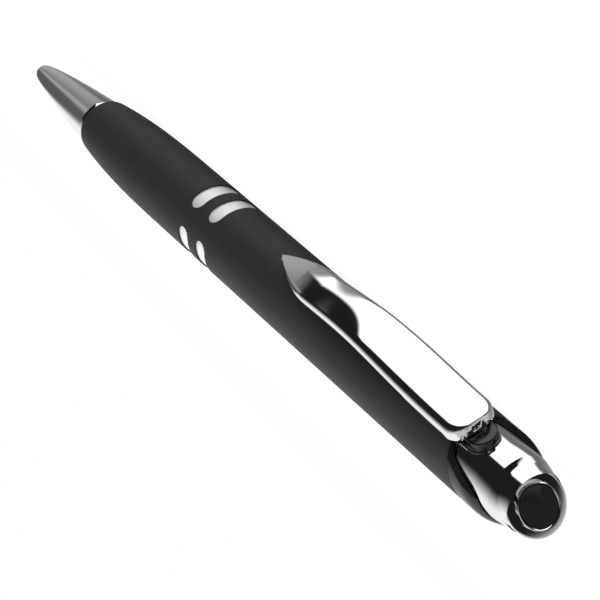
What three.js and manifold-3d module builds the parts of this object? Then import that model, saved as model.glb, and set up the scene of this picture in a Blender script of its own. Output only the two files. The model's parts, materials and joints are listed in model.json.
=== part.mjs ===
// A retractable ballpoint pen, in millimetres, +Z up.
//
// It lies as it comes to rest on a table: on its barrel, with one edge of the clip touching too.
// +X points to the writing tip. Places along the pen are stations, measured back along the axis
// from the mouth of the nose cone. Pressing the finial moves it, the clip, the clicker and the
// refill towards +X.

import * as THREE from 'three';
import { mergeVertices } from 'three/addons/utils/BufferGeometryUtils.js';
import Module from 'manifold-3d';

const wasm = await Module();
wasm.setup();

const { cos, sin, tan, sqrt, asin, atan2, hypot, max, min, PI } = Math;
const degrees = THREE.MathUtils.degToRad;

// Clearances
const seatGap = 0.05; // between pieces that are pressed or screwed together
const slideGap = 0.08; // between pieces that slide or turn on each other
const faceGap = 0.1; // along the axis, between pieces that meet end to end

// Facets round the wide pieces and round the slim ones inside
const wideFacets = 40;
const slimFacets = 20;

// Travel of the push button
const stroke = 5.5;

// Nose cone
const noseLength = 22;
const noseMouthRadius = 1.2;
const noseBaseRadius = 4.2;
const noseFullness = 0.68; // 1 is a straight cone, less is rounder
const noseHoleRadius = 0.85;
const noseHoleLength = 2;
const noseThreadRadius = 3.25;
const noseThreadLength = 9;
const springSeatStation = 8.9;
const springSeatRadius = 1.62;
const springRoomRadius = 2.35;

// Barrel: a black sleeve over a bright tube, as long as the refill and clicker need
const barrelRadius = 5.8;
const barrelFrontRadius = 4.5;
const barrelFrontRounding = 0.3;
const barrelSwellLength = 26; // the front stretch that swells to the full radius
const barrelSwellPower = 2.8;
const sleeveWall = 0.2;
const tubeWall = 0.57;
const endSlant = degrees(27); // the mouth and the finial's end face lean alike, short under the clip

// Two rings of slots that show the bright tube
const slotRingCount = 2;
const slotsPerRing = 3;
const firstSlotSetback = 35.3; // from the barrel's front
const slotRingPitch = 4.95;
const slotWidth = 2.8;
const slotArc = degrees(86);
const slotTurn = degrees(19); // from the clip to the middle of the nearest slot

// Threaded bush that takes the nose cone
const bushLength = 13.5;
const bushRadius = 3.95;
const bushFlangeRadius = 4.9;
const bushFlangeLength = 3.4;
const tubeInset = 8.5; // from the bush's flange to the tube's front end

// Collar at the barrel's mouth
const collarReach = 4.7; // beyond the mouth, on the axis
const collarDomeLength = 2.6;
const collarDomePower = 2.2; // 1 is a straight cone, more is rounder
const collarSpigotLength = 9.9;
const collarLip = 0.08;
const scoopSlant = degrees(66);
const scoopReach = 6.2; // beyond the mouth, on the axis

// Finial, which is the push button
const finialReach = 9.9; // beyond the mouth, on the axis, to the middle of the end face
const finialWall = 0.5;
const finialTaperLength = 3.6;
const finialEndRadius = 4.25;
const finialRounding = 0.35;
const finialSkirtLength = 6.4; // inside the barrel, in front of the mouth
const finialEndWall = 3.6;
const insetRadius = 2.6;
const insetDepth = 1.0; // of the recess that it sits in
const insetSetback = 0.05; // behind the ring's face
const ringWidth = 0.26;
const ringProud = 0.75; // of the end face

// Core inside the finial
const coreLength = 8.4;
const coreSetback = 0.3; // from the end of the finial's hollow

// Clicker
const camSleeveLength = 16.2;
const camSleeveSlimRadius = 4.1;
const skirtRoom = 2; // between the sleeve's shoulder and the pressed finial
const camBoreRadius = 3.3;
const camRibLength = 5.8;
const camRibTop = 2.8; // radius at the ribs' inner faces
const camRibWidth = 0.9;
const camRibCount = 4;
const camBodyRadius = 2.65;
const lugRadius = 3.2;
const lugLength = 1.5;
const rotorLength = 5.6;
const rotorSocketDepth = 2;
const rotorTurn = degrees(-22.5); // from mid-groove, at rest
const pilotRadius = 0.9;
const pilotLength = 1.2;
const crownLength = 5;
const crownNotch = 0.7;
const stemRadius = 1.9;
const stemDepth = 5.8; // into the core

// Refill
const refillSetback = 1.3; // of the writing ball, behind the nose's mouth
const refillLength = 107;
const refillRadius = 1.5;
const refillWall = 0.28;
const refillPlugLength = 2.4;
const refillPlugHead = 0.4;
const ballRadius = 0.5;
const pointLength = 10.9; // from the ball's front to the tube
const pointSpigotLength = 2.8;
const pointSlimRadius = 0.75;
const pointThickRadius = 1.12;
const stopSetback = 7; // behind the nose's visible base
const stopLength = 1.5;
const stopRadius = 2.2;

// Return spring
const springWireRadius = 0.2;
const springTurns = 11;
const springStepsPerTurn = 10;
const springSides = 5;

// Clip
const clipSetback = 9.6; // of its rear end, in front of the middle of the finial's end face
const clipLength = 46.9;
const clipRise = 2.6; // of its rear top above the barrel
const clipArch = 1.5; // how much higher its middle is
const clipArchLength = 23.5; // from the point to the highest place
const clipLevelLength = 2.4; // at its rear
const clipHalfWidth = 3.7;
const clipRearHalfWidth = 3.65;
const clipCornerRadius = 2.9;
const clipSheet = 0.7;
const clipWallHeight = 1.8;
const clipWallStart = 5.7; // from the point to where its walls start to deepen
const clipWallFull = 14.2; // and to where they have their full height
const clipCrown = 0.45; // rise of its top across its width
const clipShoulder = 0.9;
const clipStepLength = 35; // from the point to where its walls step down
const clipStepDepth = 0.4;
const clipHoleWidth = 1.2; // in the rear wall
const clipHoleHeight = 0.4;
const leafLength = 9.5; // the rounded front
const leafHalfWidth = 3.1;
const leafRoundness = 0.85; // 1 is a pointed leaf, less is rounder
const leafRise = 2.55; // of its top above the barrel
const leafThickness = 1.1;
const leafDroop = 0.35; // how far the point hangs down
const leafDroopLength = 6;
const leafDroopPower = 1.3; // 1 is a straight slope, more is rounder
const ridgeSetback = 8.4; // of the ridge under the leaf, from its point
const ridgeLength = 0.9;
const ridgeClearance = 0.15; // above the barrel

// Post that carries the clip on the finial
const postRadius = 2.1;
const postReach = 2.3; // of its round rear, behind the clip's rear end
const postLength = 4.4;
const postGap = 0.25; // under the clip's rear wall
const flangeWidth = 0.18;
const flangeThickness = 0.35;
const legHalfWidth = 1.3;
const legLength = 2;
const legDepth = 1.1; // below the finial's inner wall
const lugHalfWidth = 1.6;
const lugPlateLength = 1.9;
const pinRadius = 0.35;
const pinSetback = 1.9; // in front of the clip's rear wall
const pinDrop = 0.55; // below the clip's inner face

// Places that follow from the sizes above
const barrelFront = noseLength + faceGap;
const slantSlope = tan(endSlant);
const sleeveBore = barrelRadius - sleeveWall;
const tubeRadius = sleeveBore - seatGap;
const tubeBore = tubeRadius - tubeWall;
const bushFlangeFront = barrelFront + bushLength;
const bushFlangeEnd = bushFlangeFront + bushFlangeLength;
const tubeFront = bushFlangeFront + tubeInset;
const finialRadius = tubeBore - slideGap;
const finialBore = finialRadius - finialWall;
const stopStation = noseLength + stopSetback;
const refillEnd = refillSetback + refillLength;
const rotorFront = refillEnd - rotorSocketDepth;
const rotorEnd = rotorFront + rotorLength;
const crownFront = rotorEnd + 3 * faceGap;
const crownEnd = crownFront + crownLength;
const rotorLugFront = rotorEnd - pilotLength - lugLength;
const crownLugFront = crownFront + crownNotch;
const camSleeveEnd = crownEnd + lugLength;
const camSleeveFront = camSleeveEnd - camSleeveLength;
const camRibEnd = crownLugFront + 2 * lugLength;
const camRibFront = camRibEnd - camRibLength;
const coreFront = camSleeveEnd + stroke + 3 * faceGap;
const coreEnd = coreFront + coreLength;
const coreRadius = finialBore - seatGap;
const finialHollowEnd = coreEnd + coreSetback;
const finialEnd = finialHollowEnd + finialEndWall;
const mouth = finialEnd - finialReach;
const finialFront = mouth - finialSkirtLength;
const camSleeveShoulder = finialFront - stroke - skirtRoom;
const collarFront = mouth - collarSpigotLength;
const tubeEnd = collarFront - faceGap;
const clipTopHeight = barrelRadius + clipRise; // above the pen's axis
const clipRear = finialEnd - clipSetback;
const clipFront = clipRear - clipLength;
const postRear = clipRear + postReach;
const postCentre = postRear - postRadius;
const postFront = postRear - postLength;
const ringBore = insetRadius + seatGap;
const ringRadius = ringBore + ringWidth;
const rimReach = slantSlope * (finialEndRadius - finialRounding) + finialRounding * (1 / cos(endSlant) - 1);
const penLength = finialEnd + max(rimReach, ringProud + slantSlope * ringRadius);
const centreStation = penLength / 2;
const xAt = (station) => centreStation - station;

// Solids

// A watertight geometry as a solid for joining and cutting, its faces pointing out.
function toSolid(geometry) {
  const bare = geometry.index ? geometry : mergeVertices(geometry);
  for (const name of Object.keys(bare.attributes)) {
    if (name !== 'position') bare.deleteAttribute(name);
  }
  const merged = mergeVertices(bare, 1e-4);
  const places = merged.attributes.position.array;
  const corners = [];
  for (let i = 0; i < merged.index.count; i += 3) {
    const [a, b, c] = [0, 1, 2].map((k) => merged.index.getX(i + k));
    if (a !== b && b !== c && c !== a) corners.push(a, b, c);
  }
  const build = (triangles) => new wasm.Manifold(new wasm.Mesh({
    numProp: 3,
    vertProperties: new Float32Array(places),
    triVerts: new Uint32Array(triangles),
  }));
  return signedVolume(places, corners) > 0 ? build(corners) : build(corners.slice().reverse());
}

function signedVolume(places, corners) {
  let total = 0;
  for (let i = 0; i < corners.length; i += 3) {
    const [a, b, c] = [0, 1, 2].map((k) => new THREE.Vector3().fromArray(places, 3 * corners[i + k]));
    total += a.dot(b.cross(c)) / 6;
  }
  return total;
}

function toGeometry(solid) {
  const { numProp, vertProperties, triVerts } = solid.getMesh();
  const places = [];
  for (let i = 0; i < vertProperties.length; i += numProp) {
    places.push(vertProperties[i], vertProperties[i + 1], vertProperties[i + 2]);
  }
  const geometry = new THREE.BufferGeometry();
  geometry.setAttribute('position', new THREE.Float32BufferAttribute(places, 3));
  geometry.setIndex(Array.from(triVerts));
  geometry.computeVertexNormals();
  return geometry;
}

const join = (...solids) => solids.reduce((whole, piece) => whole.add(piece));
const cut = (solid, ...cutters) => cutters.reduce((rest, cutter) => rest.subtract(cutter), solid);

// Turned shape from [station, radius, lean] points, which start and end on the axis or come back
// to the first point. A point's lean slides it towards the tip on the clip's side and away from
// it on the other, as a slanted cut does.
function turned(profile, facets = wideFacets) {
  const points = profile.map(([station, radius]) => new THREE.Vector2(radius, xAt(station)));
  const halfFacet = PI / facets; // a flat, not a corner, meets the table
  const geometry = new THREE.LatheGeometry(points, facets, halfFacet);
  geometry.rotateZ(-PI / 2);
  const position = geometry.attributes.position;
  for (let i = 0; i < position.count; i += 1) {
    const lean = profile[i % profile.length][2] ?? 0;
    const clipward = position.getY(i) * clipDirection.y + position.getZ(i) * clipDirection.z;
    position.setX(i, position.getX(i) + lean * slantSlope * clipward);
  }
  return toSolid(geometry);
}

function tube(front, end, radius, bore, facets = wideFacets) {
  return turned([[front, bore], [front, radius], [end, radius], [end, bore], [front, bore]], facets);
}

function rod(front, end, radius, facets = wideFacets) {
  return turned([[front, 0], [front, radius], [end, radius], [end, 0]], facets);
}

// Pieces that belong to the clip's side are drawn with the clip straight up, then rolled.
function rolled(geometry) {
  return geometry.rotateX(clipRoll);
}

// A box between two stations, its width centred on the clip, its heights above the axis.
function clipsideBox(front, end, halfWidth, bottom, top) {
  const box = new THREE.BoxGeometry(end - front, 2 * halfWidth, top - bottom);
  box.translate(xAt((front + end) / 2), 0, (bottom + top) / 2);
  return toSolid(rolled(box));
}

// A box that stands out from the axis at an angle round it.
function radialBox(front, end, width, bottom, top, angle) {
  const box = new THREE.BoxGeometry(end - front, width, top - bottom);
  box.translate(xAt((front + end) / 2), 0, (bottom + top) / 2);
  return toSolid(box.rotateX(angle));
}

// A closed skin over convex outlines of equal length.
function loft(outlines) {
  const size = outlines[0].length;
  const places = outlines.flat().flatMap((point) => [point.x, point.y, point.z]);
  const corners = [];
  for (let k = 0; k + 1 < outlines.length; k += 1) {
    for (let i = 0; i < size; i += 1) {
      const here = k * size + i;
      const beside = k * size + ((i + 1) % size);
      corners.push(here, beside, beside + size, here, beside + size, here + size);
    }
  }
  const last = (outlines.length - 1) * size;
  for (let i = 1; i + 1 < size; i += 1) {
    corners.push(0, i + 1, i, last, last + i, last + i + 1);
  }
  const geometry = new THREE.BufferGeometry();
  geometry.setAttribute('position', new THREE.Float32BufferAttribute(places, 3));
  geometry.setIndex(corners);
  return geometry;
}

const steps = (count) => Array.from({ length: count + 1 }, (_, i) => i / count);
const mix = THREE.MathUtils.lerp;

// Clip outline, drawn with the clip straight up

function clipHalfWidthAt(station) {
  const fromPoint = station - clipFront;
  const rise = min(fromPoint / leafLength, 1);
  if (rise < 1) return leafHalfWidth * sin((PI / 2) * rise) ** leafRoundness;
  const swell = THREE.MathUtils.smoothstep(fromPoint, leafLength, clipStepLength);
  const taper = THREE.MathUtils.smoothstep(fromPoint, clipStepLength, clipLength);
  const arm = mix(leafHalfWidth, clipHalfWidth, swell) - taper * (clipHalfWidth - clipRearHalfWidth);
  const intoCorner = max(station - (clipRear - clipCornerRadius), 0);
  return arm - clipCornerRadius + sqrt(max(clipCornerRadius ** 2 - intoCorner ** 2, 0));
}

// Height of the clip's top edge line, and of the bottom of its side walls.
function clipTopAt(station) {
  const fromPoint = station - clipFront;
  const archTop = clipTopHeight + clipArch;
  const fall = THREE.MathUtils.smoothstep(fromPoint, clipArchLength, clipLength - clipLevelLength);
  if (fromPoint > clipArchLength) return mix(archTop, clipTopHeight, fall);
  const rise = THREE.MathUtils.smoothstep(fromPoint, leafDroopLength, clipArchLength);
  const droop = leafDroop * (1 - min(fromPoint / leafDroopLength, 1)) ** leafDroopPower;
  return mix(barrelRadius + leafRise, archTop, rise) - droop;
}

function clipBottomAt(station) {
  const fromPoint = station - clipFront;
  const deepening = THREE.MathUtils.smoothstep(fromPoint, clipWallStart, clipWallFull);
  const step = fromPoint > clipStepLength ? clipStepDepth : 0;
  return clipTopAt(station) - mix(leafThickness, clipWallHeight, deepening) - step;
}

// Half of the clip's upper outline at a station: [across, height], from the middle to the wall's foot.
function clipHalfOutline(station, inset = 0) {
  const half = max(clipHalfWidthAt(station) - inset, 0.1);
  const top = clipTopAt(station) - inset;
  const share = half / clipHalfWidth;
  const crown = clipCrown * share ** 2;
  const shoulder = min(clipShoulder * share, half);
  const edge = half - shoulder;
  const shoulderDrop = shoulder * (1 - cos(degrees(45)));
  return [
    [0, top],
    [edge / 2, top - crown / 4],
    [edge, top - crown],
    [edge + shoulder * sin(degrees(45)), top - crown - shoulderDrop],
    [half, top - crown - min(shoulder, clipTopAt(station) - clipBottomAt(station) - crown - 0.1)],
  ];
}

function clipOutline(station, inset, bottom) {
  const half = clipHalfOutline(station, inset);
  const foot = half[half.length - 1][0];
  const right = [...half.slice(1), [foot, bottom]];
  const left = right.map(([across, height]) => [-across, height]).reverse();
  const ring = [half[0], ...right, ...left];
  return ring.map(([across, height]) => new THREE.Vector3(xAt(station), across, height));
}

// The pen rolls until the clip's edge meets the table: how far below level the clip then points.
const tableHeight = barrelRadius * cos(PI / wideFacets);
const crowded = (share) => (1 - cos(PI * share)) / 2; // closer together near both ends
const clipStations = steps(24).map((share) => mix(clipFront + 0.05, clipRear, crowded(share)));
const clipEdgePoints = clipStations.flatMap((station) => {
  const half = clipHalfOutline(station);
  return [...half, [half[half.length - 1][0], clipBottomAt(station)]];
});
const clipDip = min(...clipEdgePoints
  .filter(([across, height]) => hypot(across, height) > tableHeight)
  .map(([across, height]) => asin(tableHeight / hypot(across, height)) - atan2(across, height)));
const clipRoll = PI / 2 + clipDip;
const clipDirection = { y: -cos(clipDip), z: -sin(clipDip) };
const clipReach = max(...clipEdgePoints.map(([across, height]) => across * sin(clipDip) + height * cos(clipDip)));

// Barrel

function barrelOuter() {
  const swell = steps(10).map((share) => {
    const along = share ** 1.5;
    const station = barrelFront + barrelFrontRounding + along * (barrelSwellLength - barrelFrontRounding);
    const radius = mix(barrelFrontRadius, barrelRadius, 1 - (1 - along) ** barrelSwellPower);
    return [station, radius];
  });
  return [[barrelFront, barrelFrontRadius - barrelFrontRounding], ...swell, [mouth, barrelRadius, 1]];
}

const slotEndBend = degrees(80); // where the slots' round ends are closed off

function slotCutter(station, angle) {
  const straight = slotArc / 2 - slotWidth / 2 / barrelRadius;
  const roundEnd = steps(4).slice(1).map((share) => {
    const turn = share * slotEndBend;
    return [straight + ((slotWidth / 2) * sin(turn)) / barrelRadius, (slotWidth / 2) * cos(turn)];
  });
  const middle = steps(8).map((share) => [mix(-straight, straight, share), slotWidth / 2]);
  const mirrored = roundEnd.map(([turn, half]) => [-turn, half]);
  const sections = [...mirrored.reverse(), ...middle, ...roundEnd].map(([turn, half]) => {
    const at = (x, radius) => new THREE.Vector3(xAt(station) + x, -radius * sin(angle + turn), radius * cos(angle + turn));
    const deep = sleeveBore - sleeveWall;
    const clear = barrelRadius + sleeveWall;
    return [at(-half, deep), at(half, deep), at(half, clear), at(-half, clear)];
  });
  return toSolid(rolled(loft(sections)));
}

function postSlot() {
  const front = postFront - stroke - 3 * slideGap - flangeWidth;
  const half = postRadius + flangeWidth + 2 * slideGap;
  const bottom = sqrt(tubeBore ** 2 - half ** 2) - faceGap;
  return clipsideBox(front, finialEnd, half, bottom, clipTopHeight);
}

function barrelSleeve() {
  const bore = [
    [mouth, sleeveBore, 1],
    [tubeFront - faceGap, sleeveBore],
    [tubeFront - faceGap, bushFlangeRadius + seatGap],
    [bushFlangeFront, bushFlangeRadius + seatGap],
    [bushFlangeFront, bushRadius + seatGap],
    [barrelFront, bushRadius + seatGap],
  ];
  const outer = barrelOuter();
  const slots = [];
  for (let ring = 0; ring < slotRingCount; ring += 1) {
    for (let i = 0; i < slotsPerRing; i += 1) {
      slots.push(slotCutter(barrelFront + firstSlotSetback + ring * slotRingPitch, slotTurn + (i * 2 * PI) / slotsPerRing));
    }
  }
  return cut(turned([...outer, ...bore, outer[0]]), ...slots, postSlot());
}

function barrelTube() {
  return tube(tubeFront, tubeEnd, tubeRadius, tubeBore);
}

function rearCollar() {
  const domeEnd = mouth + collarReach;
  const domeFront = domeEnd - collarDomeLength;
  const lipRadius = tubeBore + collarLip;
  const dome = steps(4).slice(0, 4).map((share) => {
    const station = mix(domeFront, domeEnd, share);
    return [station, mix(barrelRadius, lipRadius, share ** collarDomePower), 1];
  });
  const shoulder = mouth + seatGap / cos(endSlant);
  const front = [collarFront, tubeBore];
  const ring = turned([
    front,
    [collarFront, tubeRadius],
    [shoulder, tubeRadius, 1],
    [shoulder, barrelRadius, 1],
    ...dome,
    [domeEnd, lipRadius, 1],
    [domeEnd, tubeBore, 1],
    front,
  ]);
  const clear = 2 * barrelRadius;
  const scoopFront = mouth - faceGap; // the spigot stays whole inside the sleeve
  const exposed = turned([[scoopFront, 0, 1], [scoopFront, clear, 1], [finialEnd, clear, 1], [finialEnd, 0, 1]]);
  return cut(ring, scoop().intersect(exposed), postSlot());
}

// Everything beyond a steep slanted plane, on the clip's side.
function scoop() {
  const size = 6 * barrelRadius;
  const beyond = new THREE.Vector3(-cos(scoopSlant), 0, sin(scoopSlant));
  const box = new THREE.BoxGeometry(size, size, size);
  box.translate(0, 0, size / 2);
  box.applyQuaternion(new THREE.Quaternion().setFromUnitVectors(new THREE.Vector3(0, 0, 1), beyond));
  box.translate(xAt(mouth + scoopReach), 0, 0);
  return toSolid(rolled(box));
}

// Nose cone and its bush

function noseCone() {
  const outer = steps(9).map((share) => {
    const fullness = share ** noseFullness;
    return [share * noseLength, mix(noseMouthRadius, noseBaseRadius, fullness)];
  });
  const threadEnd = noseLength + noseThreadLength;
  const hole = [0, noseHoleRadius];
  return turned([
    hole,
    ...outer,
    [noseLength, noseThreadRadius],
    [threadEnd, noseThreadRadius],
    [threadEnd, springRoomRadius],
    [springSeatStation, springRoomRadius],
    [springSeatStation, springSeatRadius],
    [springSeatStation - 3.4, springSeatRadius],
    [noseHoleLength + 1, noseHoleRadius + 0.4],
    [noseHoleLength, noseHoleRadius],
    hole,
  ]);
}

function frontBush() {
  const bore = noseThreadRadius + seatGap;
  const front = barrelFront + 3 * faceGap;
  return join(
    tube(front, bushFlangeFront + faceGap, bushRadius, bore),
    tube(bushFlangeFront + faceGap, bushFlangeEnd, bushFlangeRadius, bore),
  );
}

// Finial and what it carries

function finialShell() {
  const rounding = steps(4).map((share) => {
    const turn = (share * PI) / 2;
    const station = finialEnd - finialRounding * (1 - sin(turn));
    return [station, finialEndRadius - finialRounding * (1 - cos(turn)), 1];
  });
  const recess = ringRadius + seatGap;
  const shell = turned([
    [finialFront, 0],
    [finialFront, finialRadius],
    [finialEnd - finialTaperLength, finialRadius],
    ...rounding,
    [finialEnd, recess, 1],
    [finialEnd - insetDepth, recess, 1],
    [finialEnd - insetDepth, 0, 1],
  ]);
  const hollow = rod(finialFront - 1, finialHollowEnd, finialBore);
  return cut(shell, hollow, legSlot(finialBore * cos(PI / 6)));
}

function legSlot(bottom) {
  const rear = postCentre + legLength / 2;
  return clipsideBox(rear - legLength - slideGap, rear + slideGap, legHalfWidth + slideGap, bottom, barrelRadius);
}

function finialCore() {
  const socket = rod(coreFront - 1, coreFront + stemDepth + faceGap, stemRadius + seatGap, slimFacets);
  return cut(rod(coreFront, coreEnd, coreRadius), socket, legSlot(finialBore - legDepth - slideGap));
}

function endInset() {
  const back = finialEnd - insetDepth + faceGap;
  const face = finialEnd + ringProud - insetSetback;
  return turned([[back, 0, 1], [back, insetRadius, 1], [face, insetRadius, 1], [face, 0, 1]]);
}

function insetRing() {
  const back = finialEnd - insetDepth + faceGap;
  const face = finialEnd + ringProud;
  const start = [back, ringBore, 1];
  return turned([start, [back, ringRadius, 1], [face, ringRadius, 1], [face, ringBore, 1], start]);
}

// Clicker

function notches(station) {
  return steps(3).map((share) => {
    const bar = new THREE.BoxGeometry(crownNotch, 3 * camBodyRadius, crownNotch);
    bar.rotateY(PI / 4);
    bar.translate(xAt(station), 0, 0);
    return toSolid(bar.rotateX((share * 3 * PI) / 4));
  });
}

function ribsRound(front, end, bottom, top, turn) {
  return Array.from({ length: camRibCount }, (_, i) => {
    const angle = turn + (i * 2 * PI) / camRibCount;
    return radialBox(front, end, camRibWidth, bottom, top, angle);
  });
}

const grooveTurn = PI / camRibCount;

function camSleeve() {
  const shell = join(
    tube(camSleeveFront, camSleeveShoulder, tubeBore - seatGap, camBoreRadius),
    tube(camSleeveShoulder, camSleeveEnd, camSleeveSlimRadius, camBoreRadius),
  );
  const ribs = ribsRound(camRibFront, camRibEnd, camRibTop, camBoreRadius + 0.2, 0);
  return join(shell, ...ribs);
}

function camRotor() {
  const body = join(
    rod(rotorFront, rotorEnd - pilotLength, camBodyRadius, slimFacets),
    rod(rotorEnd - pilotLength, rotorEnd, pilotRadius, slimFacets),
    ...ribsRound(rotorLugFront, rotorLugFront + lugLength, camBodyRadius * 0.6, lugRadius, grooveTurn + rotorTurn),
  );
  const socket = rod(rotorFront - 1, refillEnd + faceGap, refillRadius + slideGap, slimFacets);
  return cut(body, socket);
}

function camPlunger() {
  const stemEnd = coreFront + stemDepth;
  const crownFace = crownFront - pilotLength;
  const body = join(
    rod(crownFace, crownEnd, camBodyRadius, slimFacets),
    rod(crownEnd, stemEnd, stemRadius, slimFacets),
    ...ribsRound(crownLugFront, crownLugFront + lugLength, camBodyRadius * 0.6, lugRadius, grooveTurn),
  );
  const pilotHole = rod(crownFace - 1, rotorEnd + faceGap, pilotRadius + slideGap, slimFacets);
  return cut(body, pilotHole, ...notches(crownFace));
}

// Refill

function refillTube() {
  return tube(refillSetback + pointLength, refillEnd - refillPlugHead - faceGap, refillRadius, refillRadius - refillWall, slimFacets);
}

function refillPlug() {
  const head = refillEnd - refillPlugHead;
  return join(
    rod(refillEnd - refillPlugLength, head, refillRadius - refillWall - seatGap, slimFacets),
    rod(head, refillEnd, refillRadius, slimFacets),
  );
}

function refillStop() {
  return tube(stopStation, stopStation + stopLength, stopRadius, refillRadius + seatGap, slimFacets);
}

function refillPoint() {
  const flangeFront = refillSetback + pointLength - 0.7;
  const tubeFace = refillSetback + pointLength - faceGap;
  const spigotRadius = refillRadius - refillWall - seatGap;
  const spigotEnd = refillSetback + pointLength + pointSpigotLength;
  const cupRadius = ballRadius + seatGap;
  const ballCentre = refillSetback + ballRadius;
  const cup = [90, 60, 30, 0].map((bend) => {
    const turn = degrees(bend);
    return [ballCentre + cupRadius * sin(turn), cupRadius * cos(turn)];
  });
  return turned([
    ...cup,
    [ballCentre - 0.05, cupRadius],
    [ballCentre - 0.05, cupRadius + 0.07],
    [ballCentre + 1.5, pointSlimRadius],
    [ballCentre + 6.4, pointSlimRadius],
    [ballCentre + 7.6, pointThickRadius],
    [flangeFront, pointThickRadius],
    [flangeFront, refillRadius],
    [tubeFace, refillRadius],
    [tubeFace, spigotRadius],
    [spigotEnd, spigotRadius],
    [spigotEnd, 0],
  ], slimFacets);
}

function writingBall() {
  const ball = new THREE.SphereGeometry(ballRadius, 12, 8);
  return toSolid(ball.translate(xAt(refillSetback + ballRadius), 0, 0));
}

class Helix extends THREE.Curve {
  constructor(front, end, radius, turns) {
    super();
    Object.assign(this, { front, end, radius, turns });
  }

  getPoint(share, target = new THREE.Vector3()) {
    const angle = share * this.turns * 2 * PI;
    return target.set(xAt(mix(this.front, this.end, share)), this.radius * cos(angle), this.radius * sin(angle));
  }
}

function returnSpring() {
  const wire = new THREE.Shape();
  wire.absarc(0, 0, springWireRadius, 0, 2 * PI);
  const coilRadius = springRoomRadius - 2 * slideGap - springWireRadius;
  const front = springSeatStation + springWireRadius + faceGap;
  const end = stopStation - springWireRadius - faceGap;
  const path = new Helix(front, end, coilRadius, springTurns);
  return toSolid(new THREE.ExtrudeGeometry(wire, {
    steps: springTurns * springStepsPerTurn,
    curveSegments: springSides,
    extrudePath: path,
  }));
}

// Clip and its post

function clipLeaf() {
  const outer = loft(clipStations.map((station) => clipOutline(station, 0, clipBottomAt(station))));
  const hollowStart = clipFront + leafLength + 2;
  const hollowStations = clipStations
    .map((station) => min(max(station, hollowStart), clipRear - clipSheet))
    .filter((station, i, all) => station !== all[i - 1]);
  const hollow = loft(hollowStations.map((station) => {
    const widthStation = min(station + clipSheet, clipRear - 0.01);
    const outline = clipOutline(station, clipSheet, barrelRadius);
    const share = (clipHalfWidthAt(widthStation) - clipSheet) / max(clipHalfWidthAt(station) - clipSheet, 0.1);
    return outline.map((point) => point.setY(point.y * min(share, 1)));
  }));
  const pinHole = new THREE.CylinderGeometry(pinRadius + slideGap, pinRadius + slideGap, 2 * pinHalfLength + 2 * faceGap, 12);
  pinHole.translate(xAt(pinStation), 0, pinHeight);
  const cornerFront = clipRear - clipCornerRadius;
  const overPost = clipsideBox(cornerFront, clipRear + seatGap, postRadius + 2 * slideGap, barrelRadius, rearWallFoot);
  const rearWallFront = clipRear - clipSheet - seatGap;
  const holeHeight = (rearWallFoot + clipTopHeight - clipShoulder) / 2;
  const hole = clipsideBox(
    rearWallFront,
    clipRear + seatGap,
    clipHoleWidth / 2,
    holeHeight - clipHoleHeight / 2,
    holeHeight + clipHoleHeight / 2,
  );
  const ridgeFront = clipFront + ridgeSetback;
  const ridgeTop = clipTopAt(ridgeFront) - leafThickness / 2;
  const ridgeHalfWidth = clipHalfWidthAt(ridgeFront) - clipSheet / 4;
  const ridge = clipsideBox(ridgeFront, ridgeFront + ridgeLength, ridgeHalfWidth, barrelRadius + ridgeClearance, ridgeTop);
  const pressing = cut(toSolid(rolled(outer)), toSolid(rolled(hollow)), toSolid(rolled(pinHole)), overPost, hole);
  return join(pressing, ridge);
}

const rearWallFoot = clipTopHeight - clipWallHeight;
const pinStation = clipRear - clipSheet - pinSetback;
const pinHeight = clipTopHeight - clipSheet - pinDrop;
const pinHalfLength = clipRearHalfWidth - clipSheet / 2 - faceGap; // its ends stay inside the clip's walls

// An upright column with a flat front and a round rear, seen from above the clip.
function postColumn(radius, front, bottom, top) {
  const plan = new THREE.Shape();
  plan.moveTo(xAt(front), radius);
  plan.lineTo(xAt(postCentre), radius);
  plan.absarc(xAt(postCentre), 0, radius, PI / 2, (3 * PI) / 2, false);
  plan.lineTo(xAt(front), -radius);
  plan.closePath();
  const column = new THREE.ExtrudeGeometry(plan, { depth: top - bottom, bevelEnabled: false, curveSegments: 10 });
  return toSolid(rolled(column.translate(0, 0, bottom)));
}

function clipPost() {
  const saddle = finialRadius + seatGap;
  const shaft = postColumn(postRadius, postFront, finialRadius * 0.7, rearWallFoot - postGap);
  const flange = postColumn(postRadius + flangeWidth, postFront - flangeWidth, finialRadius * 0.7, barrelRadius)
    .intersect(rod(postFront - postLength, postRear + postLength, saddle + flangeThickness));
  const lugFront = pinStation - lugPlateLength / 2;
  const lugPlate = clipsideBox(lugFront, pinStation + lugPlateLength / 2, lugHalfWidth, rearWallFoot - 2 * postGap, pinHeight + pinRadius);
  const saddleCut = rod(postFront - postLength, postRear + postLength, saddle);
  const legRear = postCentre + legLength / 2;
  const leg = clipsideBox(legRear - legLength, legRear, legHalfWidth, finialBore - legDepth, finialRadius + flangeThickness);
  const pinHole = new THREE.CylinderGeometry(pinRadius + seatGap, pinRadius + seatGap, 4 * lugHalfWidth, 12);
  pinHole.translate(xAt(pinStation), 0, pinHeight);
  return cut(join(cut(join(shaft, flange), saddleCut), lugPlate, leg), toSolid(rolled(pinHole)));
}

function clipPin() {
  const pin = new THREE.CylinderGeometry(pinRadius, pinRadius, 2 * pinHalfLength, 12);
  return toSolid(rolled(pin.translate(xAt(pinStation), 0, pinHeight)));
}

// Materials

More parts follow.
